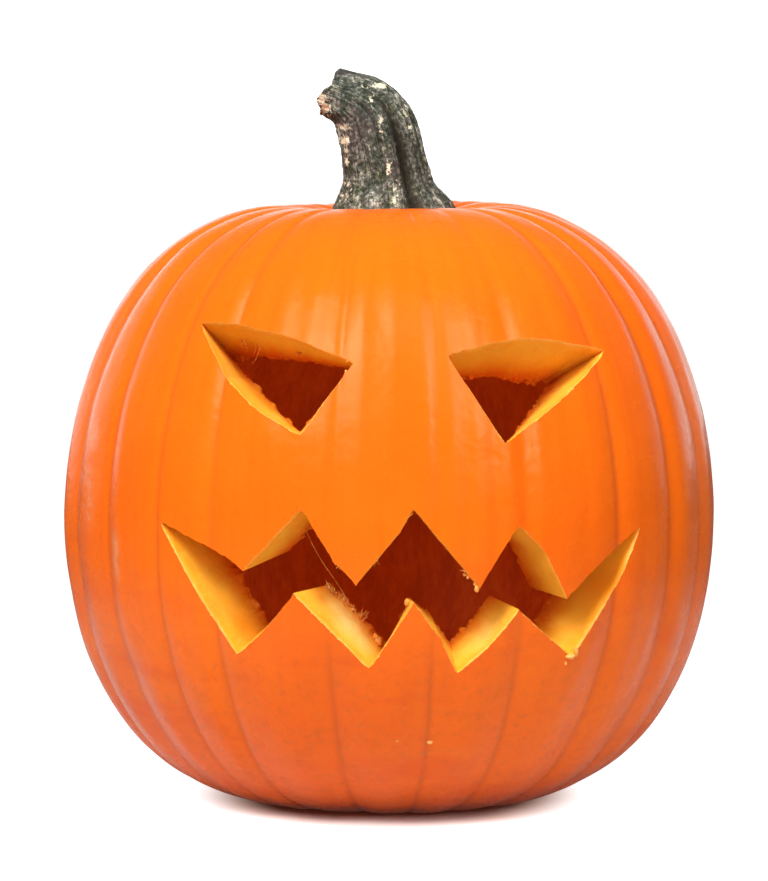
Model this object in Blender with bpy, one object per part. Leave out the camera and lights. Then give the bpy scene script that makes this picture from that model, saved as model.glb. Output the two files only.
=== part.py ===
"""Carved pumpkin lantern: a hollow ribbed pumpkin with two slanted eyes and a jagged mouth cut
through its wall, and the woody stem that grows from its crown.

Run it with: blender --background --python part.py
Metres, +Z up. The carved face looks along -Y and the pumpkin stands on Z = 0.
"""

import math

import bmesh
import bpy
from mathutils import Vector
from mathutils.bvhtree import BVHTree

MM = 0.001

# Body: the smooth outline that the ribs are cut into.
BODY_RADIUS = 0.1405  # widest, on the crowns of the ribs
WAIST_HEIGHT = 0.1215  # where the body is widest
CROWN_RISE = 0.1362  # from the waist to the crown, before the hollow round the stem
BASE_SINK = 0.0050  # how far the round base would reach below the floor, before it is flattened
CROWN_POWERS = (3.30, 1.88)  # powers of the radius and of the height above the waist
BELLY_POWERS = (3.30, 2.02)  # the same below the waist
STEM_HOLLOW = (0.0130, 0.034)  # depth and radius
BLOSSOM_HOLLOW = (0.0120, 0.030)

# Ribs: azimuths of the grooves in degrees from the middle of the face, positive towards +X.
FRONT_GROOVES = (-88.0, -74.5, -57.6, -43.2, -31.6, -10.6, 7.6, 23.2, 42.5, 57.9, 71.4, 84.0)
GROOVE_COUNT = 24
BACK_GROOVE_SWING = 2.2  # degrees by which the grooves behind leave an even spacing
BACK_GROOVE_BEAT = 2.3
GROOVE_DEPTH = 0.0027
GROOVE_DEPTH_SWING = 0.0006
GROOVE_DEPTH_BEAT = 1.7
CROWN_GROOVE_SHARE = 0.5  # how deep the grooves still are over the crown, as a share
RIB_ROUNDNESS = 0.7
RIB_START = (0.020, 0.045)  # radii over which the ribs come out of the hollows at the ends
CROWN_REACH = (0.060, 0.120)  # radii over which the grooves reach their full depth

# Wall thickness at the side, at the crown and at the base.
WALL_SIDE = 0.031
WALL_CROWN = 0.034
WALL_BASE = 0.028

# Carving, in millimetres: each corner is (x, z, lean_x, lean_z). The knife enters the skin at
# (x, z), seen from the front. Pointed at the middle of the body, it would come out of the inner
# wall at a place that lies (lean_x, lean_z) away from where it really does.
LEFT_EYE = (
    (-77.6, 207.6, -6.0, 5.0),
    (-65.4, 208.0, -7.5, 6.5),
    (-41.7, 203.5, -4.4, 7.7),
    (-14.8, 193.1, -2.3, 11.6),
    (-18.0, 189.5, -1.0, 9.0),
    (-36.2, 164.3, -8.4, 8.5),
    (-54.2, 174.3, -7.7, 12.0),
    (-66.8, 186.4, -8.0, 12.0),
)
RIGHT_EYE = (
    (23.8, 196.2, 6.4, 5.2),
    (44.0, 201.0, 5.1, 2.7),
    (56.2, 202.4, 6.1, -0.1),
    (68.2, 200.9, 5.0, -1.0),
    (88.6, 196.3, -4.5, 0.7),
    (82.9, 189.4, -0.5, 3.7),
    (70.9, 178.1, 5.5, 6.9),
    (46.9, 160.8, 11.0, 6.2),
)
UPPER_LIP = (
    (-93.9, 126.4, 0.0, 0.0),
    (-69.0, 115.0, 3.0, 1.5),
    (-59.5, 108.6, 8.4, 4.3),
    (-35.7, 134.2, 0.0, -2.0),
    (-22.8, 113.3, 0.0, 0.0),
    (-13.5, 103.8, 0.0, 0.0),
    (4.3, 125.4, 1.0, 0.0),
    (9.5, 135.0, 3.0, 0.0),
    (36.7, 102.1, 4.5, -2.0),
    (52.6, 127.2, 0.0, 0.0),
    (62.9, 116.6, 0.0, 0.0),
    (72.5, 96.4, 2.0, -3.4),
    (90.6, 113.5, 0.0, 0.0),
    (103.3, 123.7, 0.0, 0.0),
)
LOWER_LIP = (
    (95.3, 103.9, 0.0, 0.0),
    (84.0, 85.7, 0.0, 0.0),
    (74.8, 72.0, 0.0, 0.0),
    (52.7, 93.0, 0.0, -3.3),
    (41.3, 79.1, 0.0, -4.0),
    (27.5, 67.2, 3.0, -2.0),
    (20.9, 82.0, 0.0, -1.0),
    (9.9, 97.2, 0.0, -6.5),
    (-8.3, 69.7, 6.0, -6.0),
    (-38.9, 100.4, 7.8, -3.7),
    (-50.6, 85.0, 0.0, 0.0),
    (-62.3, 73.7, 0.0, 0.0),
    (-82.4, 105.2, 0.0, 0.0),
)
FRONT_CLEARANCE = 0.008  # between the skin and the flat front of a cutter
KNIFE_OVERRUN = 0.008  # how far the cutters go on past the inner wall
LONGEST_CUT_STEP = 0.0075  # between two knife positions along an edge

# Stem: sections as (x, z, half width, tilt in degrees towards -X), from the foot to the broken end.
STEM_SECTIONS = (
    (0.0000, 0.2380, 0.0310, 0.0),
    (0.0000, 0.2480, 0.0275, 0.0),
    (0.0000, 0.2554, 0.0240, 0.0),
    (-0.0006, 0.2640, 0.0200, 0.0),
    (-0.0025, 0.2746, 0.0187, 1.0),
    (-0.0047, 0.2847, 0.0181, 4.0),
    (-0.0070, 0.2912, 0.0175, 9.0),
    (-0.0110, 0.2963, 0.0161, 22.0),
    (-0.0163, 0.2998, 0.0142, 38.0),
    (-0.0221, 0.3018, 0.0117, 52.0),
    (-0.0262, 0.3030, 0.0112, 62.0),
)
STEM_DEPTH = 0.92  # depth in Y as a share of the width
STEM_STEPS = 3  # rings from one section to the next
STEM_COLUMNS = 40
STEM_GROOVES = (-128.0, -92.0, -52.0, -14.0, 29.0, 66.0, 104.0, 146.0, 190.0)  # degrees
STEM_GROOVE_WIDTH = 11.0  # degrees
STEM_GROOVE_DEPTH = 0.15  # share of the half width
STEM_GROOVE_SWING = 0.05
STEM_END_BULGE = 0.0022  # how far the broken end swells out
STEM_END_FLAT = 0.72  # the width of the flat of the broken end, as a share of the stem's
STEM_GAP = 0.0003  # between the stem and the skin it grows from

# Meshes
RIB_COLUMNS = 4
BODY_ROWS = 34
CAVITY_COLUMNS = 44
CAVITY_ROWS = 22

FULL_TURN = 360.0
CENTRE = Vector((0.0, 0.0, WAIST_HEIGHT))


def groove_azimuths():
    """Azimuths of all the grooves, those of the face first, and the first one again at the end."""
    behind = GROOVE_COUNT - len(FRONT_GROOVES)
    gap = (FULL_TURN + FRONT_GROOVES[0] - FRONT_GROOVES[-1]) / (behind + 1)
    back = [
        FRONT_GROOVES[-1] + gap * k + BACK_GROOVE_SWING * math.sin(BACK_GROOVE_BEAT * k)
        for k in range(1, behind + 1)
    ]
    return [*FRONT_GROOVES, *back, FRONT_GROOVES[0] + FULL_TURN]


GROOVES = groove_azimuths()


def smoothstep(low, high, value):
    share = min(max((value - low) / (high - low), 0.0), 1.0)
    return share * share * (3.0 - 2.0 * share)


def hollow_depth(hollow, radius):
    depth, width = hollow
    return depth * math.exp(-((radius / width) ** 2))


def outline_height(radius, above):
    """Height of the smooth outline over the waist at this radius."""
    share = min(radius / BODY_RADIUS, 1.0)
    across, along = CROWN_POWERS if above else BELLY_POWERS
    curve = (1.0 - share**across) ** (1.0 / along)
    if above:
        return CROWN_RISE * curve - hollow_depth(STEM_HOLLOW, radius)
    return hollow_depth(BLOSSOM_HOLLOW, radius) - (WAIST_HEIGHT + BASE_SINK) * curve


def body_point(azimuth, radius, above, inset):
    """Point of the outline, moved in by inset towards the middle of the body."""
    height = outline_height(radius, above)
    scale = 1.0 - inset / math.hypot(radius, height)
    turn = math.radians(azimuth)
    across = radius * scale
    return Vector((across * math.sin(turn), -across * math.cos(turn), WAIST_HEIGHT + height * scale))


def rib_inset(rib, share, radius, above):
    """How deep the skin lies under the outline, from a groove (share 0) to the next (share 1)."""
    crown = math.sin(math.pi * share) ** RIB_ROUNDNESS if 0.0 < share < 1.0 else 0.0
    groove = rib if share < 0.5 else rib + 1
    depth = GROOVE_DEPTH + GROOVE_DEPTH_SWING * math.sin(GROOVE_DEPTH_BEAT * (groove % GROOVE_COUNT))
    if above:
        depth *= CROWN_GROOVE_SHARE + (1.0 - CROWN_GROOVE_SHARE) * smoothstep(*CROWN_REACH, radius)
    return depth * (1.0 - crown) * smoothstep(*RIB_START, radius)


def wall_thickness(radius, height):
    """Thickness of the wall in this direction from the middle of the body."""
    upright = height / math.hypot(radius, height)
    end = WALL_CROWN if height > 0.0 else WALL_BASE
    return WALL_SIDE + (end - WALL_SIDE) * upright**2


def sphere_mesh(name, columns, rows, place):
    """Sphere whose vertices are put where place(column, radius, above) says."""
    bm = bmesh.new()
    bmesh.ops.create_uvsphere(bm, u_segments=columns, v_segments=rows, radius=BODY_RADIUS)
    for vertex in bm.verts:
        x, y, z = vertex.co
        turn = math.degrees(math.atan2(x, -y)) % FULL_TURN
        column = round(turn * columns / FULL_TURN) % columns
        vertex.co = place(column, math.hypot(x, y), z > 0.0)
    mesh = bpy.data.meshes.new(name)
    bm.to_mesh(mesh)
    bm.free()
    return mesh


def skin_mesh(name, gap):
    """The ribbed skin, flattened where it rests, and gap outside the real one."""

    def place(column, radius, above):
        rib, step = divmod(column, RIB_COLUMNS)
        share = step / RIB_COLUMNS
        azimuth = GROOVES[rib] + (GROOVES[rib + 1] - GROOVES[rib]) * share
        inset = rib_inset(rib, share, radius, above) - gap
        point = body_point(azimuth, radius, above, inset)
        point.z = max(point.z, 0.0)
        return point

    return sphere_mesh(name, GROOVE_COUNT * RIB_COLUMNS, BODY_ROWS, place)


def cavity_mesh(name):
    def place(column, radius, above):
        azimuth = FULL_TURN * column / CAVITY_COLUMNS
        inset = wall_thickness(radius, outline_height(radius, above))
        return body_point(azimuth, radius, above, inset)

    return sphere_mesh(name, CAVITY_COLUMNS, CAVITY_ROWS, place)


def surface_of(mesh):
    """The mesh as something that rays can be cast on."""
    bm = bmesh.new()
    bm.from_mesh(mesh)
    surface = BVHTree.FromBMesh(bm)
    bm.free()
    return surface


def knife_positions(corners):
    """Corners of a closed outline with steps between them, in metres."""
    positions = []
    for k, start in enumerate(corners):
        end = corners[(k + 1) % len(corners)]
        length = math.dist(start[:2], end[:2]) * MM
        steps = math.ceil(length / LONGEST_CUT_STEP)
        for step in range(steps):
            share = step / steps
            positions.append([(a + (b - a) * share) * MM for a, b in zip(start, end)])
    return positions


def knife_cut(position, skin, cavity):
    """Where the blade enters the skin, its direction, and where it leaves the inner wall."""
    x, z, lean_x, lean_z = position
    entry = skin.ray_cast(Vector((x, -1.0, z)), Vector((0.0, 1.0, 0.0)))[0]
    aim = cavity.ray_cast(entry, CENTRE - entry)[0] + Vector((lean_x, 0.0, lean_z))
    blade = (aim - entry).normalized()
    return entry, blade, cavity.ray_cast(entry, blade)[0]


def opening_cutter(name, corners, skin, cavity):
    """Loft from the opening's outline on a plane before the skin to its outline in the cavity."""
    cuts = [knife_cut(position, skin, cavity) for position in knife_positions(corners)]
    facing = sum((entry - CENTRE for entry, _, _ in cuts), Vector()).normalized()
    plane = max((entry - CENTRE).dot(facing) for entry, _, _ in cuts) + FRONT_CLEARANCE
    bm = bmesh.new()
    outer = []
    inner = []
    for entry, blade, leaves in cuts:
        lead = (plane - (entry - CENTRE).dot(facing)) / blade.dot(facing)
        outer.append(bm.verts.new(entry + blade * lead))
        inner.append(bm.verts.new(leaves + blade * KNIFE_OVERRUN))
    bm.faces.new(outer)
    bm.faces.new(inner[::-1])
    for k in range(len(cuts)):
        after = (k + 1) % len(cuts)
        bm.faces.new((outer[k], inner[k], inner[after], outer[after]))
    bmesh.ops.recalc_face_normals(bm, faces=bm.faces)
    bmesh.ops.triangulate(bm, faces=bm.faces)
    mesh = bpy.data.meshes.new(name)
    bm.to_mesh(mesh)
    bm.free()
    return mesh


def stem_section(place):
    """Section at this place along the list, on a smooth curve through the sections."""
    k = min(int(place), len(STEM_SECTIONS) - 2)
    share = place - k
    around = [STEM_SECTIONS[min(max(k + d, 0), len(STEM_SECTIONS) - 1)] for d in (-1, 0, 1, 2)]
    return [
        0.5
        * (
            2.0 * b
            + (c - a) * share
            + (2.0 * a - 5.0 * b + 4.0 * c - d) * share**2
            + (3.0 * b - a - 3.0 * c + d) * share**3
        )
        for a, b, c, d in zip(*around)
    ]


def stem_swell(turn):
    """Radius at this angle round the stem, as a share of its half width."""
    swell = 1.0
    for k, groove in enumerate(STEM_GROOVES):
        away = (turn - groove + 180.0) % FULL_TURN - 180.0
        depth = STEM_GROOVE_DEPTH + STEM_GROOVE_SWING * math.sin(2.1 * k)
        swell -= depth * math.exp(-((away / STEM_GROOVE_WIDTH) ** 2))
    return swell


def stem_ring(bm, section, scale, along):
    """Ring of vertices round the stem, moved along its axis by along."""
    x, z, half_width, tilt = section
    lean = math.radians(tilt)
    across = Vector((math.cos(lean), 0.0, math.sin(lean)))
    axis = Vector((-math.sin(lean), 0.0, math.cos(lean)))
    ring = []
    for column in range(STEM_COLUMNS):
        turn = FULL_TURN * column / STEM_COLUMNS
        radius = half_width * scale * stem_swell(turn)
        angle = math.radians(turn)
        point = Vector((x, 0.0, z)) + axis * along + across * (radius * math.sin(angle))
        point.y -= radius * STEM_DEPTH * math.cos(angle)
        ring.append(bm.verts.new(point))
    return ring


def stem_mesh(name):
    """Ridged, bent and tapering stem with a swollen broken end, down into the hollow of the crown."""
    last = len(STEM_SECTIONS) - 1
    bm = bmesh.new()
    rings = [
        stem_ring(bm, stem_section(step / STEM_STEPS), 1.0, 0.0)
        for step in range(last * STEM_STEPS + 1)
    ]
    rings.append(stem_ring(bm, STEM_SECTIONS[-1], STEM_END_FLAT, STEM_END_BULGE))
    for low, high in zip(rings, rings[1:]):
        for column in range(STEM_COLUMNS):
            after = (column + 1) % STEM_COLUMNS
            bm.faces.new((low[column], low[after], high[after], high[column]))
    bm.faces.new(rings[0])
    bm.faces.new(rings[-1])
    bmesh.ops.recalc_face_normals(bm, faces=bm.faces)
    mesh = bpy.data.meshes.new(name)
    bm.to_mesh(mesh)
    bm.free()
    return mesh


def material(name, colour, roughness, metallic=0.0):
    made = bpy.data.materials.new(name)
    made.use_nodes = True
    shader = made.node_tree.nodes["Principled BSDF"]
    shader.inputs["Base Color"].default_value = (*colour, 1.0)
    shader.inputs["Roughness"].default_value = roughness
    shader.inputs["Metallic"].default_value = metallic
    return made


def add_object(name, mesh, collection):
    obj = bpy.data.objects.new(name, mesh)
    collection.objects.link(obj)
    return obj


def add_cutter(name, mesh, collection):
    cutter = add_object(name, mesh, collection)
    cutter.hide_render = True
    cutter.display_type = "WIRE"
    return cutter


def subtract(obj, cutter):
    cut = obj.modifiers.new("cut_" + cutter.name, "BOOLEAN")
    cut.operation = "DIFFERENCE"
    cut.solver = "EXACT"
    cut.object = cutter


def build_pumpkin(parts, cutters):
    """The shell: ribbed skin, hollow, and the three openings of the face."""
    skin = skin_mesh("pumpkin", 0.0)
    cavity = cavity_mesh("cavity")
    skin_surface = surface_of(skin)
    cavity_surface = surface_of(cavity)
    pumpkin = add_object("pumpkin", skin, parts)
    pumpkin.data.materials.append(material("pumpkin_flesh", (0.91, 0.26, 0.02), 0.4))
    subtract(pumpkin, add_cutter("cavity", cavity, cutters))
    for name, corners in (
        ("left_eye", LEFT_EYE),
        ("right_eye", RIGHT_EYE),
        ("mouth", UPPER_LIP + LOWER_LIP),
    ):
        mesh = opening_cutter(name, corners, skin_surface, cavity_surface)
        subtract(pumpkin, add_cutter(name, mesh, cutters))
    pumpkin.data.shade_smooth()


def build_stem(parts, cutters):
    """The stem, with its foot shaped to the hollow of the crown that it grows from."""
    stem = add_object("stem", stem_mesh("stem"), parts)
    stem.data.materials.append(material("stem_wood", (0.10, 0.11, 0.07), 0.8))
    subtract(stem, add_cutter("stem_seat", skin_mesh("stem_seat", STEM_GAP), cutters))
    stem.data.shade_smooth()


def main():
    for obj in list(bpy.data.objects):
        bpy.data.objects.remove(obj)
    parts = bpy.data.collections.new("carved_pumpkin_lantern")
    cutters = bpy.data.collections.new("cutters")
    cutters.hide_render = True
    bpy.context.scene.collection.children.link(parts)
    bpy.context.scene.collection.children.link(cutters)
    build_pumpkin(parts, cutters)
    build_stem(parts, cutters)


main()
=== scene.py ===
"""Looks of the carved pumpkin lantern: fine rind, cut flesh, scraped inside, stem and stray fibres.

Everything is in metres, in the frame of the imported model: the face looks along -Y, +Z is up.
"""

import math

import bmesh
import bpy
import numpy as np
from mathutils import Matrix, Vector, noise
from mathutils.bvhtree import BVHTree

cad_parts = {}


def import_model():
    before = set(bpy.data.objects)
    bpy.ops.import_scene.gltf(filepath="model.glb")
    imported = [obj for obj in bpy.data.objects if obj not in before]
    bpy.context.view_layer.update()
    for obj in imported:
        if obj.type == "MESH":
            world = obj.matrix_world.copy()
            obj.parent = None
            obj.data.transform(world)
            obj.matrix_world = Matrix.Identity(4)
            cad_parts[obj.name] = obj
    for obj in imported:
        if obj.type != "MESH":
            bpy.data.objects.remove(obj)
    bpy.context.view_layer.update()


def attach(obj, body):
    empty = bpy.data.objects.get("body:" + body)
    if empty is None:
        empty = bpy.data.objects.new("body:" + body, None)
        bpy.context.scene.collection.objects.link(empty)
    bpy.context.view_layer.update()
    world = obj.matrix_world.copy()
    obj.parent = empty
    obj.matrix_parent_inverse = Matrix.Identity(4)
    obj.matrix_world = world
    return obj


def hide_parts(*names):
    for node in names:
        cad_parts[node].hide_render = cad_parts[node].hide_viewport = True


MM = 0.001
FULL_TURN = 360.0
HALF_TURN = 180.0

# Body, as in the CAD model: the smooth outline that the ribs are cut into.
BODY_RADIUS = 0.1405
WAIST_HEIGHT = 0.1215
CROWN_RISE = 0.1362
BASE_SINK = 0.005
CROWN_POWERS = (3.3, 1.88)
BELLY_POWERS = (3.3, 2.02)
STEM_HOLLOW = (0.013, 0.034)
BLOSSOM_HOLLOW = (0.012, 0.03)

# Ribs, as in the CAD model.
FRONT_GROOVES = (-88.0, -74.5, -57.6, -43.2, -31.6, -10.6, 7.6, 23.2, 42.5, 57.9, 71.4, 84.0)
GROOVE_COUNT = 24
BACK_GROOVE_SWING = 2.2
BACK_GROOVE_BEAT = 2.3
GROOVE_DEPTH = 0.0027
GROOVE_DEPTH_SWING = 0.0006
GROOVE_DEPTH_BEAT = 1.7
CROWN_GROOVE_SHARE = 0.5
RIB_START = (0.02, 0.045)
CROWN_REACH = (0.06, 0.12)

# Wall, as in the CAD model.
WALL_SIDE = 0.031
WALL_CROWN = 0.034
WALL_BASE = 0.028

# Relief of the fine skin. Its grooves are as deep as in the CAD model but rounder, and shallow over the
# middle of the face and at the foot. A narrow crease along the bottom of each fades out on the face.
SKIN_UNDER = 0.0004  # the fine skin lies this far under the CAD skin, so that its relief stays inside
GROOVE_SOFTNESS = 2.4  # on the sides and the back; a higher number makes the grooves narrower
FACE_GROOVE_SOFTNESS = 8.0
FACE_GROOVE_SHARES = (1.0, 0.8, 0.55, 0.45, 0.6, 0.24, 0.3, 0.5, 0.5, 0.75, 0.9, 1.0)
FACE_REACH = (44.0, 76.0)  # degrees from the middle of the face to where the grooves are whole again
FACE_TOP = (0.018, 0.04)  # radii over which the grooves fade out on the way down from the stem
FACE_FOOT = (0.095, 0.05)  # heights over which they come back further down
BELLY_GROOVE_SHARE = 0.25  # how much of the grooves' depth is left at the foot
BELLY_REACH = (0.006, 0.038)  # heights over which it comes back
CREST = (135.0, 38.0, 0.06, 0.02, 0.0016)  # shoulder behind: azimuth, width, radius, width, height
CREASE_DEPTH = 0.00045
CREASE_WIDTH = 0.0013
CREASE_REACH = (22.0, 40.0)  # as FACE_REACH, for the creases
CREASE_FADE = 0.85  # how much of the creases goes on the face
SKIN_LUMPS = ((0.034, 0.00045), (0.014, 0.00014))  # size and height
SKIN_PLEATS = ((0.0085, 0.12, 0.0005), (0.0036, 0.07, 0.0001))  # width, length and height
# Shallow upright dents in the face: azimuth and half width in degrees, then the depth, the lowest and
# highest z and the length over which both ends run out, in millimetres.
FACE_DENTS = (
    (-25.5, 1.3, 0.22, 150.0, 222.0, 14.0),
    (-9.3, 0.8, 0.42, 132.0, 232.0, 14.0),
    (-3.2, 1.2, 0.26, 140.0, 228.0, 14.0),
    (2.2, 1.1, 0.15, 150.0, 225.0, 14.0),
    (8.9, 1.1, 0.4, 145.0, 222.0, 14.0),
    (9.2, 0.9, 0.6, 250.0, 251.5, 2.0),
    (18.4, 1.3, 0.28, 120.0, 225.0, 14.0),
    (24.6, 1.6, 0.45, 120.0, 185.0, 14.0),
)
CAVITY_LUMPS = ((0.016, 0.0011), (0.005, 0.00045))  # size and height

# Carving, as in the CAD model, in millimetres: (x, z, lean_x, lean_z) of each corner.
LEFT_EYE = (
    (-77.6, 207.6, -6.0, 5.0),
    (-65.4, 208.0, -7.5, 6.5),
    (-41.7, 203.5, -4.4, 7.7),
    (-14.8, 193.1, -2.3, 11.6),
    (-18.0, 189.5, -1.0, 9.0),
    (-36.2, 164.3, -8.4, 8.5),
    (-54.2, 174.3, -7.7, 12.0),
    (-66.8, 186.4, -8.0, 12.0),
)
RIGHT_EYE = (
    (23.8, 196.2, 6.4, 5.2),
    (44.0, 201.0, 5.1, 2.7),
    (56.2, 202.4, 6.1, -0.1),
    (68.2, 200.9, 5.0, -1.0),
    (88.6, 196.3, -4.5, 0.7),
    (82.9, 189.4, -0.5, 3.7),
    (70.9, 178.1, 5.5, 6.9),
    (46.9, 160.8, 11.0, 6.2),
)
UPPER_LIP = (
    (-93.9, 126.4, 0.0, 0.0),
    (-69.0, 115.0, 3.0, 1.5),
    (-59.5, 108.6, 8.4, 4.3),
    (-35.7, 134.2, 0.0, -2.0),
    (-22.8, 113.3, 0.0, 0.0),
    (-13.5, 103.8, 0.0, 0.0),
    (4.3, 125.4, 1.0, 0.0),
    (9.5, 135.0, 3.0, 0.0),
    (36.7, 102.1, 4.5, -2.0),
    (52.6, 127.2, 0.0, 0.0),
    (62.9, 116.6, 0.0, 0.0),
    (72.5, 96.4, 2.0, -3.4),
    (90.6, 113.5, 0.0, 0.0),
    (103.3, 123.7, 0.0, 0.0),
)
LOWER_LIP = (
    (95.3, 103.9, 0.0, 0.0),
    (84.0, 85.7, 0.0, 0.0),
    (74.8, 72.0, 0.0, 0.0),
    (52.7, 93.0, 0.0, -3.3),
    (41.3, 79.1, 0.0, -4.0),
    (27.5, 67.2, 3.0, -2.0),
    (20.9, 82.0, 0.0, -1.0),
    (9.9, 97.2, 0.0, -6.5),
    (-8.3, 69.7, 6.0, -6.0),
    (-38.9, 100.4, 7.8, -3.7),
    (-50.6, 85.0, 0.0, 0.0),
    (-62.3, 73.7, 0.0, 0.0),
    (-82.4, 105.2, 0.0, 0.0),
)

# Where the cut flesh is paler: middle and radius in millimetres, and strength. The last patch is painted
# light on a tooth's top.
CREAM_AND_LIT_PATCHES = (
    ((-21.4, -116.8, 92.1), 6.0, 0.75),
    ((-17.0, -118.0, 86.0), 8.0, 0.95),
    ((-12.0, -119.0, 79.5), 6.5, 0.75),
    # Painted light: this patch brightens a tooth's top that faces the lamps.
    ((40.0, -118.0, 81.0), 8.0, 0.35),
)
# Painted shade: where the cut flesh lies in shade, it is painted a deeper amber.
AMBER_SHADE_PATCHES = (
    ((-52.4, -97.1, 176.4), 10.0, 0.6),
    ((-61.3, -106.5, 84.4), 10.0, 0.85),
    ((-27.5, -119.9, 97.0), 3.5, 0.8),
    ((87.5, -97.0, 100.0), 11.0, 0.85),
    ((78.3, -105.7, 82.3), 6.0, 0.25),
)

# Cuts: how the cutters are laid out, and the marks of the knife.
FRONT_CLEARANCE = 0.008  # how far before the skin a cutter starts
KNIFE_OVERRUN = 0.008  # and how far behind the wall it ends
CUT_STEP = 0.0008  # between two knife positions along an edge
CUT_LIP = (-0.0012, -0.0003, 0.0004, 0.0011, 0.0022)  # depths at which the lip of a cut is shaped
CUT_DEPTH_STEPS = 20  # from the lip to the back of a cutter
CUT_WAVES = ((0.007, 0.00028), (0.0018, 0.00013))  # length along the edge and height
CUT_WAVE_DEPTH = 0.02  # their length along the blade
CUT_CORNER = 0.0024  # the waves and chips die out over this distance to a corner
LIP_DEPTH = (0.0003, 0.0017)  # depths between which the chipped lip runs out
LIP_BEVEL = 0.00034  # how far the lip stands back everywhere
LIP_CHIPS = ((0.0014, 0.00075), (0.005, 0.00035))  # length along the edge and height
TORN_DEPTH = 0.005  # the edge at the hollow is torn over this last stretch of a cut
TORN_CHIPS = ((0.0021, 0.0015), (0.006, 0.0018))  # length and height

# Scuffs on the rind: middle and radii in millimetres, and strength.
SCUFFS = (
    ((-124.3, -55.5, 158.5), (3.5, 6.0, 5.5), 0.75),
    ((-126.0, -57.0, 142.3), (4.0, 8.0, 2.2), 0.6),
    ((-125.4, -60.5, 131.0), (2.5, 3.0, 10.0), 0.6),
    ((-113.5, -80.4, 112.0), (2.0, 3.0, 8.0), 0.95),
    ((-113.1, -80.4, 104.0), (1.8, 2.4, 3.5), 0.7),
)

# Stray flesh beside the cuts, in millimetres. Each bit is moved onto the nearest flesh or rind. A tuft has
# its place, the number of its fibres, their length and the way they lean.
TUFTS = (
    ((-24.3, -110.8, 99.6), 18, 3.0, (0.2, 0.2, 1.0)),
    ((-21.5, -109.7, 97.4), 18, 3.0, (0.5, 0.2, 1.0)),
    ((-18.5, -109.4, 94.6), 14, 2.4, (0.5, 0.2, 1.0)),
    ((-15.3, -107.7, 90.6), 14, 2.2, (0.5, 0.1, 1.0)),
    ((-11.2, -106.7, 87.0), 12, 5.0, (0.1, 0.0, 1.0)),
    ((-20.8, -137.6, 113.0), 4, 1.4, (-0.8, -0.3, -0.4)),
    ((-5.4, -134.0, 113.8), 4, 3.2, (0.1, 0.2, -1.0)),
    ((9.6, -136.0, 134.0), 5, 2.2, (0.3, -0.3, 0.6)),
    ((-36.2, -133.6, 133.6), 4, 2.6, (0.5, -0.4, 0.8)),
    ((31.0, -134.4, 108.4), 6, 2.4, (-0.8, 0.1, -0.5)),
    ((59.2, -97.3, 101.3), 3, 2.4, (0.0, 0.0, -1.0)),
    ((-60.0, -86.0, 199.0), 3, 6.0, (0.0, 0.1, -1.0)),
    ((-55.1, -86.9, 196.0), 2, 9.0, (0.2, 0.1, -1.0)),
    ((-36.7, -96.8, 196.1), 9, 2.6, (0.0, 0.1, -1.0)),
    ((-15.5, -123.5, 193.2), 5, 2.8, (1.0, -0.5, -0.3)),
    ((-13.4, -139.4, 114.8), 3, 1.3, (0.1, 0.1, 1.0)),
)
CRUMBS = (
    ((34.9, -133.6, 101.9), (0.95, 0.8, 1.6)),  # middle and half sizes
    ((34.3, -133.8, 103.8), (0.65, 0.6, 0.8)),
    ((29.9, -133.0, 107.4), (0.9, 0.8, 0.7)),
    ((31.2, -133.4, 106.4), (0.6, 0.6, 0.8)),
    ((7.3, -123.5, 95.6), (1.3, 1.6, 1.7)),
    ((-4.6, -110.4, 81.2), (1.2, 1.0, 1.5)),
    ((-4.3, -110.8, 78.2), (1.5, 1.2, 1.6)),
    ((-21.6, -137.2, 112.6), (0.45, 0.45, 0.45)),
    ((73.8, -111.6, 72.0), (2.2, 1.5, 1.0)),
    ((76.4, -110.4, 73.8), (1.0, 1.3, 1.9)),
    ((72.3, -111.6, 69.2), (0.5, 0.5, 1.0)),
    ((16.6, -113.9, 37.0), (1.1, 0.5, 0.8)),
    ((3.1, -117.6, 38.0), (0.7, 0.35, 0.55)),
    ((-18.4, -122.0, 190.0), (0.45, 0.45, 0.75)),
)
STRAND = (  # the one long fibre across the left of the mouth
    (-34.9, -111.5, 125.2),
    (-32.6, -109.5, 120.0),
    (-29.2, -108.5, 113.4),
    (-24.3, -108.0, 105.9),
    (-19.6, -108.2, 99.0),
    (-15.6, -107.8, 91.5),
)
STRAY_SEED = 11
FIBRE_RADIUS = 0.00018
STRAND_RADIUS = 0.00016
FIBRE_SIDES = 5
FIBRE_STEPS = 7
FIBRE_SCATTER = 0.0009  # of the roots of a tuft
FIBRE_RISE = 0.5  # how far a fibre turns away from the surface
FIBRE_SPREAD = 0.35  # of the ways in which a tuft's fibres lean
FIBRE_CURL = 0.22  # change of way at each step
FIBRE_LENGTHS = (0.5, 1.1)  # least and most, as shares of the tuft's length
FIBRE_THICKNESSES = (0.8, 1.9)
FIBRE_TAPER = 0.7
STRAND_WANDER = 0.00007
CRUMB_LIFT = 0.6  # most that a crumb's middle stands off the surface, as a share of its half size
CRUMB_RUFFLE = (0.0009, 0.35)  # size of a crumb's lumps, and their height as a share of it

# Stem, as in the CAD model: (x, z, half width, tilt in degrees towards -X).
STEM_SECTIONS = (
    (0.0, 0.238, 0.031, 0.0),
    (0.0, 0.248, 0.0275, 0.0),
    (0.0, 0.2554, 0.024, 0.0),
    (-0.0006, 0.264, 0.02, 0.0),
    (-0.0025, 0.2746, 0.0187, 1.0),
    (-0.0047, 0.2847, 0.0181, 4.0),
    (-0.007, 0.2912, 0.0175, 9.0),
    (-0.011, 0.2963, 0.0161, 22.0),
    (-0.0163, 0.2998, 0.0142, 38.0),
    (-0.0221, 0.3018, 0.0117, 52.0),
    (-0.0262, 0.303, 0.0112, 62.0),
)
STEM_DEPTH = 0.92

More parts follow.
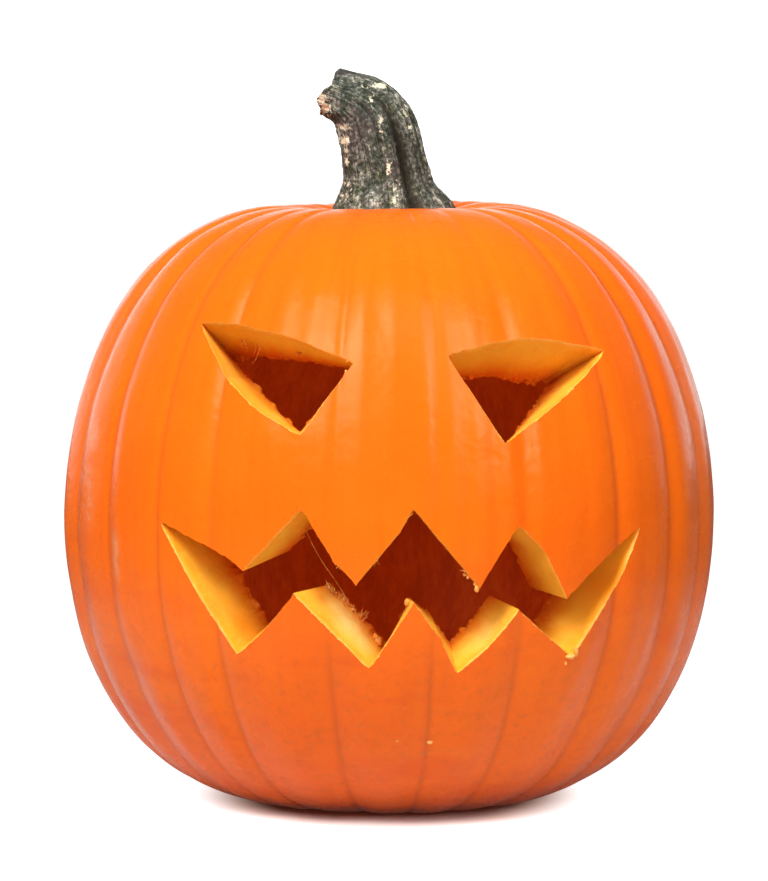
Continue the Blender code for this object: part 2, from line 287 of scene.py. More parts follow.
# The stem's bark: grooves as (degrees from the front, half width in degrees, depth as a share of the stem's
# half width). They are shallower towards the broken end.
BARK_GROOVES = (
    (-128.0, 11.0, 0.19),
    (-92.0, 8.0, 0.03),
    (-62.0, 8.0, 0.03),
    (-29.0, 3.0, 0.035),
    (-4.0, 4.5, 0.08),
    (29.0, 9.0, 0.19),
    (52.0, 4.0, 0.04),
    (70.0, 5.0, 0.07),
    (104.0, 10.0, 0.13),
    (146.0, 11.0, 0.19),
    (190.0, 11.0, 0.15),
)
BARK_RIDGES = ((11.0, 40.0, 0.03), (26.0, 60.0, 0.024), (60.0, 90.0, 0.01))  # round, along, height
BARK_PITS = ((0.0032, 0.0004), (0.0013, 0.00025))  # size and height
BARK_MARGIN = 0.02  # the bark starts this share inside the CAD stem, so that its relief stays in the box
END_BREAK = (  # how far the broken end stands out, across the stem, in millimetres
    (-12.0, -3.4),
    (-9.0, -1.2),
    (-5.2, 2.6),
    (-1.0, 1.6),
    (2.8, -0.4),
    (6.0, 0.4),
    (8.6, 0.9),
    (12.0, -1.2),
)
BARK_END_SHARE = 0.35  # of the grooves' depth at the broken end
BARK_END_REACH = (5.0, 9.0)  # places along the sections over which they get shallower
FOOT_TOES = ((95.0, 16.0, 0.17), (62.0, 9.0, 0.1), (-20.0, 8.0, 0.06))  # as the grooves, but out
FOOT_RISE = (0.2545, 0.266)  # heights over which the toes run out
END_BREAK_START = 0.75  # sections before the end at which the break sets in
END_RINGS = 12
END_DISH = 0.0016
END_BARE = 0.75  # how much of the end's face is bare wood
END_SPLINTERS = (0.0021, 0.0007)  # size and height
BARK_ROUND = 0.018  # radius at which the bark's lines are laid out
END_RUN = 0.01  # length that the end's face adds to them
GROOVE_WHOLE = 0.2  # depth, as a share of the half width, from which a groove has its full painted shade

# Where the bark is worn to the cream wood: x and z of the middle, half width and half height, strength, in
# millimetres, first on the front and then on the back, which the photo doesn't show. The front's last three
# patches are a painted highlight along the stem's right edge, not wear.
WORN_AND_HIGHLIGHT_FRONT = (
    (-30.4, 301.4, 2.2, 2.6, 1.0),
    (-28.8, 298.6, 2.6, 2.8, 1.0),
    (-27.4, 295.4, 2.6, 2.6, 1.0),
    (-26.0, 292.4, 1.8, 1.2, 0.55),
    (-19.8, 287.2, 3.0, 1.5, 0.8),
    (-19.0, 281.4, 2.9, 2.4, 0.95),
    (-18.6, 277.2, 1.0, 1.6, 0.75),
    (-18.2, 273.0, 1.2, 2.6, 0.8),
    (-17.8, 262.6, 4.0, 3.4, 0.42),
    (-18.6, 257.6, 5.0, 3.0, 0.42),
    (-4.0, 305.0, 3.8, 1.3, 1.0),
    (-10.8, 304.6, 3.0, 1.4, 0.5),
    (-7.6, 299.0, 1.3, 2.6, 0.62),
    (-3.6, 290.2, 1.3, 2.2, 0.62),
    (-3.6, 285.6, 1.6, 2.4, 0.42),
    (-0.2, 270.6, 1.8, 4.2, 0.66),
    (2.4, 262.0, 3.0, 3.4, 0.45),
    (2.6, 256.4, 3.6, 3.0, 0.45),
    # Painted highlight: these three paint the pale light along the stem's right edge.
    (3.0, 300.0, 1.4, 2.6, 0.52),
    (7.0, 294.2, 2.8, 4.6, 0.5),
    (8.6, 287.4, 1.0, 1.0, 0.8),
)
WORN_SIDE = -0.7  # cosine of the angle from the front where the back's patches begin
WORN_BACK = (
    (-14.0, 289.0, 2.6, 3.2, 0.8),
    (-4.0, 276.0, 2.0, 4.4, 0.6),
    (6.0, 292.0, 3.0, 1.6, 0.75),
    (12.0, 268.0, 2.4, 4.0, 0.5),
    (-10.0, 262.0, 4.0, 3.0, 0.45),
)

# Fineness of the meshes.
RIB_COLUMNS = 3 * (14,) + 5 * (26,) + 3 * (14,) + 13 * (11,)  # left of the face, on it, right of it, behind
SKIN_ROWS = 150
CAVITY_COLUMNS = 150
CAVITY_ROWS = 84
GUIDE_COLUMNS = 120
GUIDE_ROWS = 60
STEM_COLUMNS = 240
STEM_STEPS = 20
SHARP_ANGLE = math.radians(38.0)

# Camera: what it looks at, where it stands, and its lens.
CAMERA_TARGET = Vector((-0.00233, 0.00275, 0.1524))
CAMERA_PLACE = Vector((0.0, -2.1916, 0.3127))
CAMERA_LENS = 208.65
SENSOR = 36.0
CAMERA_CLIP = 0.05

# Studio: the room is dim towards the camera and overhead, and white behind the object. Two tall strip lights
# in front show in the rind, and a broad light over them is too diffuse to show in it.
ROOM_FRONT = 0.14
ROOM_BACK = 1.6
ROOM_TURN = (0.4, 0.88)  # how far back a direction points where the front ends and the back begins
ROOM_TOP = 0.14
ROOM_RISE = (0.15, 0.55)  # and how far up it points where the top does
STRIP_DISTANCE = 2.0
STRIPS = (
    ("strip_left", -28.0, 43.5, (0.62, 1.3), 20.0),  # azimuth, height in degrees, size, power
    ("strip_right", 37.0, 37.0, (0.48, 1.5), 17.5),
)
OVERHEAD_PLACE = (-0.65, -1.35, 2.15)
OVERHEAD_SIZE = (1.2, 1.2)
OVERHEAD_POWER = 62.0
FLOOR_SIZE = 12.0
FLOOR_BRIGHT = 0.64  # the floor's white near the object
FLOOR_DIM = 0.15  # and far from it, as it lights the object
FLOOR_POOL = (0.25, 0.7)  # radii between which it changes
FLOOR_GLOW = 0.05  # light that the floor near the object throws up by itself
FLOOR_GLOW_REACH = (0.16, 0.26)  # radii over which it ends
FLOOR_SQUEEZE = (1.5, 1.0, 1.0)  # the painted white leaves the shadow at the foot narrower than deep by this
FLOOR_WHITE = (0.082, 0.13)  # radii over which it runs out into plain white, painted by light that the camera alone sees
FLOOR_BOUNCE = (1.0, 0.62, 0.48)  # painted bounce light: colour of the shadow's inner part, for the light that the rind throws

# Rind. The values of a shader are named by its sockets. A tint has the two strengths of its pattern between
# which it sets in, how much it covers there, and its colour.
RIND_SHADER = {
    "Roughness": 0.27,
    "Specular IOR Level": 0.3,
    "Specular Tint": (1.0, 0.85, 0.55, 1.0),
    "Subsurface Weight": 0.1,
    "Subsurface Radius": (1.0, 0.35, 0.05),
    "Subsurface Scale": 0.004,
}
RIND_ROUGHNESS = (0.22, 0.33)
RIND_BUMP = 0.00012
RIND_COLOUR = (0.88, 0.134, 0.0035)
RIND_LOW_SHADE_COLOUR = (0.82, 0.118, 0.0035)
RIND_LOW_REACH = (0.16, 0.02)  # heights over which the rind takes its lower colour, a painted shade that makes it darker and redder low down
RIND_BLOTCHES = (0.35, 0.7, 0.35, (0.92, 0.178, 0.005))
RIND_STREAKS = (0.45, 0.75, 0.22, (0.8, 0.095, 0.004))
RIND_STREAK_STRETCH = (220.0, 220.0, 6.0)
# Painted shade: brown along the narrow crease at the bottom of each groove.
RIND_CREASE_SHADE_STRENGTH = 0.45
RIND_CREASE_SHADE_COLOUR = (0.5, 0.075, 0.01)
RIND_MOTTLES = (  # each with its fineness
    (110.0, (0.46, 0.68, 0.32, (0.62, 0.088, 0.008))),
    (260.0, (0.52, 0.72, 0.4, (0.5, 0.105, 0.022))),
)
RIND_BANDS = (0.5, 0.66, 0.5, (0.74, 0.08, 0.003))
RIND_BAND_STRETCH = (16.0, 16.0, 60.0)
SCUFF_EDGE = (0.3, 0.62)
SCUFF_COLOUR = (0.7, 0.36, 0.2)

# Cut flesh, from the rind inwards, with the depths over which its colours change. The darker orange near the
# hollow is partly the flesh's own and partly painted shade deep in the cut.
FLESH_SHADER = {
    "Roughness": 0.42,
    "Subsurface Weight": 0.35,
    "Subsurface Radius": (1.0, 0.45, 0.08),
    "Subsurface Scale": 0.005,
}
FLESH_BUMP = 0.00025
FLESH_OUTER = (0.91, 0.36, 0.012)
FLESH_OUTER_REACH = (0.0, 0.008)
FLESH_MIDDLE = (0.95, 0.49, 0.042)
FLESH_INNER_REACH = (0.014, 0.031)
# Partly the flesh's own colour, partly painted shade deep in the cut.
FLESH_INNER_AND_SHADE = (0.82, 0.17, 0.004)
FLESH_DRIFT = 0.005  # how far these depths vary, either way
FLESH_LIP_HIGHLIGHT = (0.0015, 0.0007, 0.5, (0.98, 0.54, 0.16))  # painted highlight, a pale line along the cut's lip: a tint as on the rind, but by depth
FLESH_FIBRES = (0.5, 0.75, 0.35, (0.98, 0.66, 0.18))
FLESH_BLOTCHES = (0.42, 0.68, 0.3, (0.86, 0.36, 0.01))
# Painted shade: the deeper amber of cut flesh that lies in shade.
AMBER_SHADE_COLOUR = (0.8, 0.25, 0.006)
# Pale fibrous flesh, and painted light on one tooth's top.
CREAM_AND_LIT_COLOUR = (1.0, 0.74, 0.24)
CREAM_EDGE = (0.1, 0.5)

# Scraped inner wall, whose deep red is partly its own colour and partly painted shade, with a painted glow
# that stands in for the daylight that comes through the wall.
INSIDE_SHADER = {
    "Roughness": 0.55,
    "Emission Color": (1.0, 0.2, 0.005, 1.0),
    "Emission Strength": 0.04,
}
INSIDE_BUMP = 0.0008
# Partly the wall's own colour, partly painted shade of the hollow.
INSIDE_COLOUR_AND_SHADE = (0.74, 0.06, 0.002)
STRING_COLOUR = (0.96, 0.19, 0.01)
STRING_EDGE = (0.35, 0.7)
STRING_STRETCH = (130.0, 130.0, 30.0)

# Stray flesh, with the dark and the pale colour of each kind.
STRAY_SHADER = {
    "Roughness": 0.45,
    "Subsurface Weight": 0.4,
    "Subsurface Radius": (1.0, 0.45, 0.1),
    "Subsurface Scale": 0.001,
}
FIBRE_COLOURS = ((0.72, 0.19, 0.02), (0.96, 0.48, 0.12))
CRUMB_COLOURS = ((0.84, 0.29, 0.03), (0.94, 0.46, 0.11))

# Bark. Its tone is the sum of four patterns, each with its share; the grooves' share is painted shade.
BARK_SHADER = {"Roughness": 0.8, "Specular IOR Level": 0.2}
BARK_BUMP = 0.0007
BARK_LINE_STRETCH = (1100.0, 70.0, 1.0)
BARK_LINE_SHARE = 0.25
BARK_SPECKLE_SHARE = 0.5
BARK_REGION_SHARE = 0.25
BARK_GROOVE_SHADE_SHARE = 0.06  # this one is taken off: painted shade in the grooves
BARK_TONES = (
    (0.4, (0.017, 0.022, 0.015)),
    (0.455, (0.042, 0.05, 0.035)),
    (0.5, (0.086, 0.087, 0.068)),
    (0.54, (0.2, 0.195, 0.16)),
    (0.6, (0.58, 0.54, 0.44)),
)
BARK_MOSS = (0.54, 0.66, 0.55, (0.38, 0.52, 0.14))
BARK_PLUM = (0.55, 0.68, 0.45, (0.085, 0.058, 0.06))
BARK_PLUM_STRETCH = (1.0, 1.0, 0.5)
BARK_GROOVE_SIDE_SHADE = (0.25, 0.75, 0.6, (0.03, 0.019, 0.01))
BARK_GROOVE_BOTTOM_SHADE = (0.75, 1.0, 0.7, (0.008, 0.01, 0.006))
WORN_RAGGEDNESS = 2.6
# Cream of worn wood, also used for the painted highlight on the right edge.
WORN_WOOD_AND_HIGHLIGHT = (0.44, 0.62, 1.0, (0.82, 0.75, 0.54))

CENTRE = Vector((0.0, 0.0, WAIST_HEIGHT))


def groove_azimuths():
    """Azimuths of all the grooves, those of the face first, and the first one again at the end."""
    behind = GROOVE_COUNT - len(FRONT_GROOVES)
    gap = (FULL_TURN + FRONT_GROOVES[0] - FRONT_GROOVES[-1]) / (behind + 1)
    back = [
        FRONT_GROOVES[-1] + gap * k + BACK_GROOVE_SWING * math.sin(BACK_GROOVE_BEAT * k)
        for k in range(1, behind + 1)
    ]
    return np.array([*FRONT_GROOVES, *back, FRONT_GROOVES[0] + FULL_TURN])


GROOVES = groove_azimuths()


def smoothstep(low, high, value):
    share = np.clip((value - low) / (high - low), 0.0, 1.0)
    return share * share * (3.0 - 2.0 * share)


def turn_from(middle, azimuth):
    """Degrees from the middle to the azimuth, the short way round."""
    return (azimuth - middle + HALF_TURN) % FULL_TURN - HALF_TURN


def round_bumps(azimuth, bumps):
    """Sum of smooth bumps at these azimuths, from the middle, half width and height of each."""
    total = np.zeros_like(azimuth)
    for middle, width, height in bumps:
        total += height * np.exp(-((turn_from(middle, azimuth) / width) ** 2))
    return total


def hollow_depth(hollow, radius):
    depth, width = hollow
    return depth * np.exp(-((radius / width) ** 2))


def outline_height(radius, above):
    """Height of the smooth outline over the waist at these radii."""
    share = np.clip(radius / BODY_RADIUS, 0.0, 1.0)
    crown = CROWN_RISE * (1.0 - share ** CROWN_POWERS[0]) ** (1.0 / CROWN_POWERS[1])
    belly = (WAIST_HEIGHT + BASE_SINK) * (1.0 - share ** BELLY_POWERS[0]) ** (1.0 / BELLY_POWERS[1])
    return np.where(
        above, crown - hollow_depth(STEM_HOLLOW, radius), hollow_depth(BLOSSOM_HOLLOW, radius) - belly
    )


def body_points(azimuth, radius, above, inset):
    """Points of the outline, moved in by inset towards the middle of the body."""
    height = outline_height(radius, above)
    scale = 1.0 - inset / np.hypot(radius, height)
    turn = np.radians(azimuth)
    across = radius * scale
    return np.stack([across * np.sin(turn), -across * np.cos(turn), WAIST_HEIGHT + height * scale], -1)


def groove_place(azimuth):
    """Share of the way from a groove to the next, degrees to the nearest, and the number of that one."""
    turned = (azimuth - GROOVES[0]) % FULL_TURN + GROOVES[0]
    rib = np.clip(np.searchsorted(GROOVES, turned, side="right") - 1, 0, GROOVE_COUNT - 1)
    width = GROOVES[rib + 1] - GROOVES[rib]
    share = (turned - GROOVES[rib]) / width
    nearest = np.where(share < 0.5, rib, rib + 1) % GROOVE_COUNT
    return share, np.minimum(share, 1.0 - share) * width, nearest


def face_share(azimuth, radius, height, reach):
    """1 over the middle of the face, where the grooves are faint, and 0 away from it."""
    away = np.abs(turn_from(0.0, azimuth))
    level = smoothstep(*FACE_TOP, radius) * smoothstep(FACE_FOOT[1], FACE_FOOT[0], height)
    return (1.0 - smoothstep(*reach, away)) * level


def crease_share(azimuth, radius, height):
    """1 at the bottom of a groove's narrow crease and 0 beside it."""
    _, away, _ = groove_place(azimuth)
    across = np.radians(away) * radius / CREASE_WIDTH
    return np.exp(-(across**2)) * (1.0 - CREASE_FADE * face_share(azimuth, radius, height, CREASE_REACH))


def crest_height(azimuth, radius, above):
    """How far the shoulder behind and to the right of the stem stands up."""
    middle, turn, place, width, height = CREST
    away = turn_from(middle, azimuth) / turn
    return height * above * np.exp(-(away**2) - ((radius - place) / width) ** 2)


def rib_inset(azimuth, radius, above, height):
    """How deep the skin lies under the outline."""
    share, _, groove = groove_place(azimuth)
    depth = GROOVE_DEPTH + GROOVE_DEPTH_SWING * np.sin(GROOVE_DEPTH_BEAT * groove)
    face = face_share(azimuth, radius, height, FACE_REACH)
    faint = np.concatenate([FACE_GROOVE_SHARES, np.ones(GROOVE_COUNT - len(FACE_GROOVE_SHARES))])[groove]
    depth = depth * (1.0 - (1.0 - faint) * face) - CREASE_DEPTH
    reach = CROWN_GROOVE_SHARE + (1.0 - CROWN_GROOVE_SHARE) * smoothstep(*CROWN_REACH, radius)
    softness = GROOVE_SOFTNESS + (FACE_GROOVE_SOFTNESS - GROOVE_SOFTNESS) * face
    soft = np.abs(np.cos(math.pi * share)) ** softness
    belly = BELLY_GROOVE_SHARE + (1.0 - BELLY_GROOVE_SHARE) * smoothstep(*BELLY_REACH, height)
    inset = depth * np.where(above, reach, belly) * soft
    inset = inset + CREASE_DEPTH * crease_share(azimuth, radius, height)
    return inset * smoothstep(*RIB_START, radius) - crest_height(azimuth, radius, above)


def dent_depth(points):
    """How deep the face's dents are at these points."""
    azimuth = np.degrees(np.arctan2(points[:, 0], -points[:, 1]))
    level = points[:, 2] / MM
    depth = np.zeros(len(points))
    for middle, width, deepest, low, high, fade in FACE_DENTS:
        across = np.exp(-(((azimuth - middle) / width) ** 2))
        along = smoothstep(low - fade, low, level) * smoothstep(high + fade, high, level)
        depth += deepest * MM * across * along
    return depth


def wall_thickness(radius, height):
    upright = height / np.hypot(radius, height)
    end = np.where(height > 0.0, WALL_CROWN, WALL_BASE)
    return WALL_SIDE + (end - WALL_SIDE) * upright**2


def lumps(points, size, seed=0.0):
    """Smooth noise between -1 and 1 at these points, with lumps of this size."""
    return np.array([noise.noise(Vector(p) / size + Vector((seed, seed, seed))) for p in points])


def sphere_mesh(name, azimuths, rows, place):
    """Closed mesh over a sphere's grid: place(azimuth, radius, above) gives its points."""
    columns = len(azimuths)
    polar = np.linspace(0.0, math.pi, rows + 1)[1:-1]
    turn, tilt = np.meshgrid(azimuths, polar)
    radius = BODY_RADIUS * np.sin(tilt)
    body = place(turn.ravel(), radius.ravel(), (tilt < math.pi / 2.0).ravel())
    ends = place(np.zeros(2), np.zeros(2), np.array([True, False]))
    faces = []
    for row in range(rows - 2):
        for column in range(columns):
            after = (column + 1) % columns
            low = row * columns
            faces.append((low + column, low + columns + column, low + columns + after, low + after))
    top, bottom = len(body), len(body) + 1
    last = (rows - 2) * columns
    for column in range(columns):
        after = (column + 1) % columns
        faces.append((top, column, after))
        faces.append((bottom, last + after, last + column))
    mesh = bpy.data.meshes.new(name)
    mesh.from_pydata(np.concatenate([body, ends]), [], faces)
    return mesh


def skin_mesh(name):
    """The ribbed skin with its fine relief, flattened where it rests."""
    azimuths = []
    for rib, start in enumerate(GROOVES[:-1]):
        even = np.arange(RIB_COLUMNS[rib]) / RIB_COLUMNS[rib]
        steps = 0.5 * even + 0.5 * (0.5 - 0.5 * np.cos(math.pi * even))
        azimuths.extend(start + (GROOVES[rib + 1] - start) * steps)
    azimuths = np.array(azimuths)

    def place(azimuth, radius, above):
        level = WAIST_HEIGHT + outline_height(radius, above)
        inset = rib_inset(azimuth, radius, above, level) + SKIN_UNDER
        points = body_points(azimuth, radius, above, inset)
        for k, (size, height) in enumerate(SKIN_LUMPS):
            inset = inset + height * lumps(points, size, 7.0 * k)
        turn = np.radians(azimuth)
        for width, length, height in SKIN_PLEATS:
            waist = BODY_RADIUS / width
            pleats = np.stack([waist * np.sin(turn), waist * np.cos(turn), points[:, 2] / length], -1)
            inset = inset + height * lumps(pleats, 1.0) * smoothstep(*CROWN_REACH, radius)
        inset = inset + dent_depth(points)
        points = body_points(azimuth, radius, above, inset)
        points[:, 2] = np.maximum(points[:, 2], 0.0)
        return points

    return sphere_mesh(name, azimuths, SKIN_ROWS, place)


def cavity_mesh(name, columns, rows, relief):
    """The hollow, with the marks of the scoop where relief is wanted."""

    def place(azimuth, radius, above):
        inset = wall_thickness(radius, outline_height(radius, above))
        points = body_points(azimuth, radius, above, inset)
        if relief:
            for k, (size, height) in enumerate(CAVITY_LUMPS):
                inset = inset - height * (lumps(points, size, 11.0 * k + 3.0))
        return body_points(azimuth, radius, above, inset)

    return sphere_mesh(name, np.arange(columns) * FULL_TURN / columns, rows, place)


def mesh_from(bm, name):
    mesh = bpy.data.meshes.new(name)
    bm.to_mesh(mesh)
    bm.free()
    return mesh


def surface_of(mesh):
    """The mesh as something that rays can be cast on."""
    bm = bmesh.new()
    bm.from_mesh(mesh)
    surface = BVHTree.FromBMesh(bm)
    bm.free()
    return surface


def knife_positions(corners):
    """Steps along the closed outline in metres, with their distance to the nearest corner."""
    positions = []
    for k, start in enumerate(corners):
        end = corners[(k + 1) % len(corners)]
        length = math.dist(start[:2], end[:2]) * MM
        steps = math.ceil(length / CUT_STEP)
        for step in range(steps):
            share = step / steps
            place = [(a + (b - a) * share) * MM for a, b in zip(start, end)]
            positions.append((place, length * min(share, 1.0 - share)))
    return positions


def knife_cut(position, skin, cavity):
    """Where the blade enters the skin, its direction, and where it leaves the inner wall."""
    x, z, lean_x, lean_z = position
    entry = skin.ray_cast(Vector((x, -1.0, z)), Vector((0.0, 1.0, 0.0)))[0]
    aim = cavity.ray_cast(entry, CENTRE - entry)[0] + Vector((lean_x, 0.0, lean_z))
    blade = (aim - entry).normalized()
    return entry, blade, cavity.ray_cast(entry, blade)[0]


def knife_depths(lead, wall):
    """Depths along the blade from the plane before the skin to the end behind the wall."""
    first = CUT_LIP[-1]
    last = wall + KNIFE_OVERRUN
    rest = [first + (last - first) * (step + 1) / CUT_DEPTH_STEPS for step in range(CUT_DEPTH_STEPS)]
    return [lead, *CUT_LIP, *rest]


def knife_relief(along, depth, wall):
    """How far the cut stands back here: waves of the knife, chipped lip, torn edge at the hollow."""
    out = 0.0
    for size, height in CUT_WAVES:
        out += height * noise.noise(Vector((along / size, depth / CUT_WAVE_DEPTH, size * 900.0)))
    chips = LIP_BEVEL
    for size, height in LIP_CHIPS:
        chips += height * max(0.0, noise.noise(Vector((along / size, 0.0, 4.0 + size))))
    out += chips * (1.0 - smoothstep(*LIP_DEPTH, depth))
    torn = 0.0
    for size, height in TORN_CHIPS:
        torn += height * noise.noise(Vector((along / size, depth / size, 9.0)))
    return out + torn * smoothstep(wall - TORN_DEPTH, wall, depth)


def opening_cutter(name, corners, skin, cavity):
    """Loft from the opening's outline before the skin to its outline in the hollow, with its relief."""
    positions = knife_positions(corners)
    cuts = [knife_cut(place, skin, cavity) for place, _ in positions]
    facing = sum((entry - CENTRE for entry, _, _ in cuts), Vector()).normalized()
    plane = max((entry - CENTRE).dot(facing) for entry, _, _ in cuts) + FRONT_CLEARANCE
    bm = bmesh.new()
    rings = []
    for k, (entry, blade, leaves) in enumerate(cuts):
        lead = (plane - (entry - CENTRE).dot(facing)) / blade.dot(facing)
        wall = (leaves - entry).length
        ahead = cuts[(k + 1) % len(cuts)][0] - cuts[k - 1][0]
        side = ahead.cross(blade).normalized()
        fade = min(positions[k][1] / CUT_CORNER, 1.0)
        line = []
        for depth in knife_depths(lead, wall):
            out = knife_relief(k * CUT_STEP, depth, wall) * fade
            line.append(bm.verts.new(entry + blade * depth + side * out))
        rings.append(line)
    bm.faces.new([line[0] for line in rings])
    bm.faces.new([line[-1] for line in rings][::-1])
    for k, line in enumerate(rings):
        after = rings[(k + 1) % len(rings)]
        for step in range(len(line) - 1):
            bm.faces.new((line[step], line[step + 1], after[step + 1], after[step]))
    bmesh.ops.recalc_face_normals(bm, faces=bm.faces)
    bmesh.ops.triangulate(bm, faces=bm.faces)
    return mesh_from(bm, name)


def material(name, sockets):
    """New procedural material with these values on its shader: it, its node tree and the shader."""
    made = bpy.data.materials.new(name)
    made.use_nodes = True
    shader = made.node_tree.nodes["Principled BSDF"]
    for socket, value in sockets.items():
        shader.inputs[socket].default_value = value
    return made, made.node_tree, shader


def fill(tree, socket, value):
    """Link the value to the socket where it is a socket itself, or else set it there."""
    if isinstance(value, bpy.types.NodeSocket):
        tree.links.new(value, socket)
    else:
        socket.default_value = (*value, 1.0) if socket.type == "RGBA" else value


def add_node(tree, kind, *values, **settings):
    """New shader node with these settings, its first inputs filled with the values."""
    node = tree.nodes.new("ShaderNode" + kind)
    for name, setting in settings.items():
        setattr(node, name, setting)
    for socket, value in zip(node.inputs, values):
        fill(tree, socket, value)
    return node


def colour_mix(tree, share, low, high, blend="MIX"):
    """Mix between two colours."""
    mix = add_node(tree, "Mix", share, data_type="RGBA", blend_type=blend)
    fill(tree, mix.inputs[6], low)
    fill(tree, mix.inputs[7], high)
    return mix.outputs[2]


def maths(tree, operation, first, second):
    return add_node(tree, "Math", first, second, operation=operation).outputs[0]


def times(tree, first, second):
    return maths(tree, "MULTIPLY", first, second)


def plus(tree, first, second):
    return maths(tree, "ADD", first, second)


def span(tree, value, low, high, out_low=0.0, out_high=1.0):
    """Smooth step of a value from low to high."""
    values = (value, low, high, out_low, out_high)
    return add_node(tree, "MapRange", *values, interpolation_type="SMOOTHSTEP").outputs[0]


def tinted(tree, colour, pattern, tint, blend="MIX"):
    """The colour with a tint laid over it where the pattern is strong."""
    low, high, strength, over = tint
    return colour_mix(tree, times(tree, span(tree, pattern, low, high), strength), colour, over, blend)


def grain(tree, place, scale, detail=2.0, roughness=0.5):
    return add_node(tree, "TexNoise", place, 0.0, scale, detail, roughness).outputs[0]


def stretched(tree, place, scale):
    return add_node(tree, "VectorMath", place, scale, operation="MULTIPLY").outputs[0]


def radius_of(tree, place):
    """Distance of a place to the origin."""
    return add_node(tree, "VectorMath", place, operation="LENGTH").outputs["Value"]


def attribute(tree, name, output="Fac"):
    return add_node(tree, "Attribute", attribute_name=name).outputs[output]


def object_place(tree):
    return add_node(tree, "TexCoord").outputs["Object"]


def seen_by_camera(tree):
    """1 where the camera looks straight at it, and 0 for light and reflections."""
    return add_node(tree, "LightPath").outputs["Is Camera Ray"]


def part_of(tree, vector, axis):
    """One of a vector's three numbers."""
    return add_node(tree, "SeparateXYZ", vector).outputs[axis]


def colour_ramp(tree, value, stops):
    """Colours at the given places of a value, with a straight run between them."""
    node = add_node(tree, "ValToRGB", value)
    ramp = node.color_ramp
    while len(ramp.elements) < len(stops):
        ramp.elements.new(0.5)
    for element, (place, colour) in zip(ramp.elements, stops):
        element.position = place
        element.color = (*colour, 1.0)
    return node.outputs[0]


def add_bump(tree, shader, height, distance):
    bump = add_node(tree, "Bump", 1.0, distance)
    tree.links.new(height, bump.inputs["Height"])
    tree.links.new(bump.outputs["Normal"], shader.inputs["Normal"])


def skin_material():
    """Waxy orange rind, blotched and streaked, mottled low down: painted shade makes it redder and darker
    low down and brown in the grooves' creases.
    """
    made, tree, shader = material("rind", RIND_SHADER)
    place = object_place(tree)
    # Painted shade: the rind darker and redder towards the bottom.
    low = span(tree, part_of(tree, place, 2), *RIND_LOW_REACH)
    colour = colour_mix(tree, low, RIND_COLOUR, RIND_LOW_SHADE_COLOUR)
    colour = tinted(tree, colour, grain(tree, place, 14.0, 3.0), RIND_BLOTCHES)
    upright = stretched(tree, attribute(tree, "around", "Vector"), RIND_STREAK_STRETCH)
    colour = tinted(tree, colour, grain(tree, upright, 1.0, 3.0), RIND_STREAKS)
    # Painted shade: brown along the narrow crease at the bottom of each groove.
    groove = times(tree, attribute(tree, "groove"), RIND_CREASE_SHADE_STRENGTH)
    colour = colour_mix(tree, groove, colour, RIND_CREASE_SHADE_COLOUR)
    for scale, (start, end, strength, dull) in RIND_MOTTLES:
        mottle = span(tree, grain(tree, place, scale, 4.0, 0.7), start, end)
        colour = colour_mix(tree, times(tree, mottle, times(tree, low, strength)), colour, dull)
    start, end, strength, red = RIND_BANDS
    band = span(tree, grain(tree, stretched(tree, place, RIND_BAND_STRETCH), 1.0, 3.0, 0.6), start, end)
    colour = colour_mix(tree, times(tree, band, times(tree, low, strength)), colour, red)
    ragged = span(tree, grain(tree, place, 380.0, 4.0, 0.7), *SCUFF_EDGE)
    colour = colour_mix(tree, times(tree, attribute(tree, "scuff"), ragged), colour, SCUFF_COLOUR)
    tree.links.new(colour, shader.inputs["Base Color"])
    rough = span(tree, grain(tree, place, 45.0, 3.0), 0.3, 0.7, *RIND_ROUGHNESS)
    tree.links.new(rough, shader.inputs["Roughness"])
    bumps = times(tree, grain(tree, place, 120.0, 2.0), 2.2)
    add_bump(tree, shader, plus(tree, grain(tree, place, 320.0, 3.0), bumps), RIND_BUMP)
    return made


def flesh_material():
    """Moist cut flesh: a pale line at the lip that is a painted highlight, yellow behind it, paler inwards,
    and orange near the hollow, partly with painted shade; amber patches of painted shade, and cream patches
    of pale flesh and painted light.
    """
    made, tree, shader = material("flesh", FLESH_SHADER)
    place = object_place(tree)
    depth = attribute(tree, "depth")
    drift = times(tree, grain(tree, place, 90.0, 3.0), 2.0 * FLESH_DRIFT)
    drifted = plus(tree, depth, maths(tree, "SUBTRACT", drift, FLESH_DRIFT))
    colour = colour_mix(tree, span(tree, drifted, *FLESH_OUTER_REACH), FLESH_OUTER, FLESH_MIDDLE)
    # Painted highlight: a pale line along the cut's lip.
    colour = tinted(tree, colour, depth, FLESH_LIP_HIGHLIGHT)
    # Darker orange near the hollow: partly the flesh's own colour, partly painted shade deep in the cut.
    colour = colour_mix(tree, span(tree, drifted, *FLESH_INNER_REACH), colour, FLESH_INNER_AND_SHADE)
    fibre = grain(tree, place, 700.0, 3.0)
    colour = tinted(tree, colour, fibre, FLESH_FIBRES)
    colour = tinted(tree, colour, grain(tree, place, 130.0, 4.0, 0.6), FLESH_BLOTCHES)
    # Painted shade: deeper amber where the cut flesh lies in shade.
    colour = colour_mix(tree, attribute(tree, "amber_shade"), colour, AMBER_SHADE_COLOUR)
    # Pale fibrous flesh, and painted light on one tooth's top.
    cream_and_lit = times(tree, attribute(tree, "cream_and_lit"), span(tree, fibre, *CREAM_EDGE))
    colour = colour_mix(tree, cream_and_lit, colour, CREAM_AND_LIT_COLOUR)
    tree.links.new(colour, shader.inputs["Base Color"])
    add_bump(tree, shader, fibre, FLESH_BUMP)
    return made


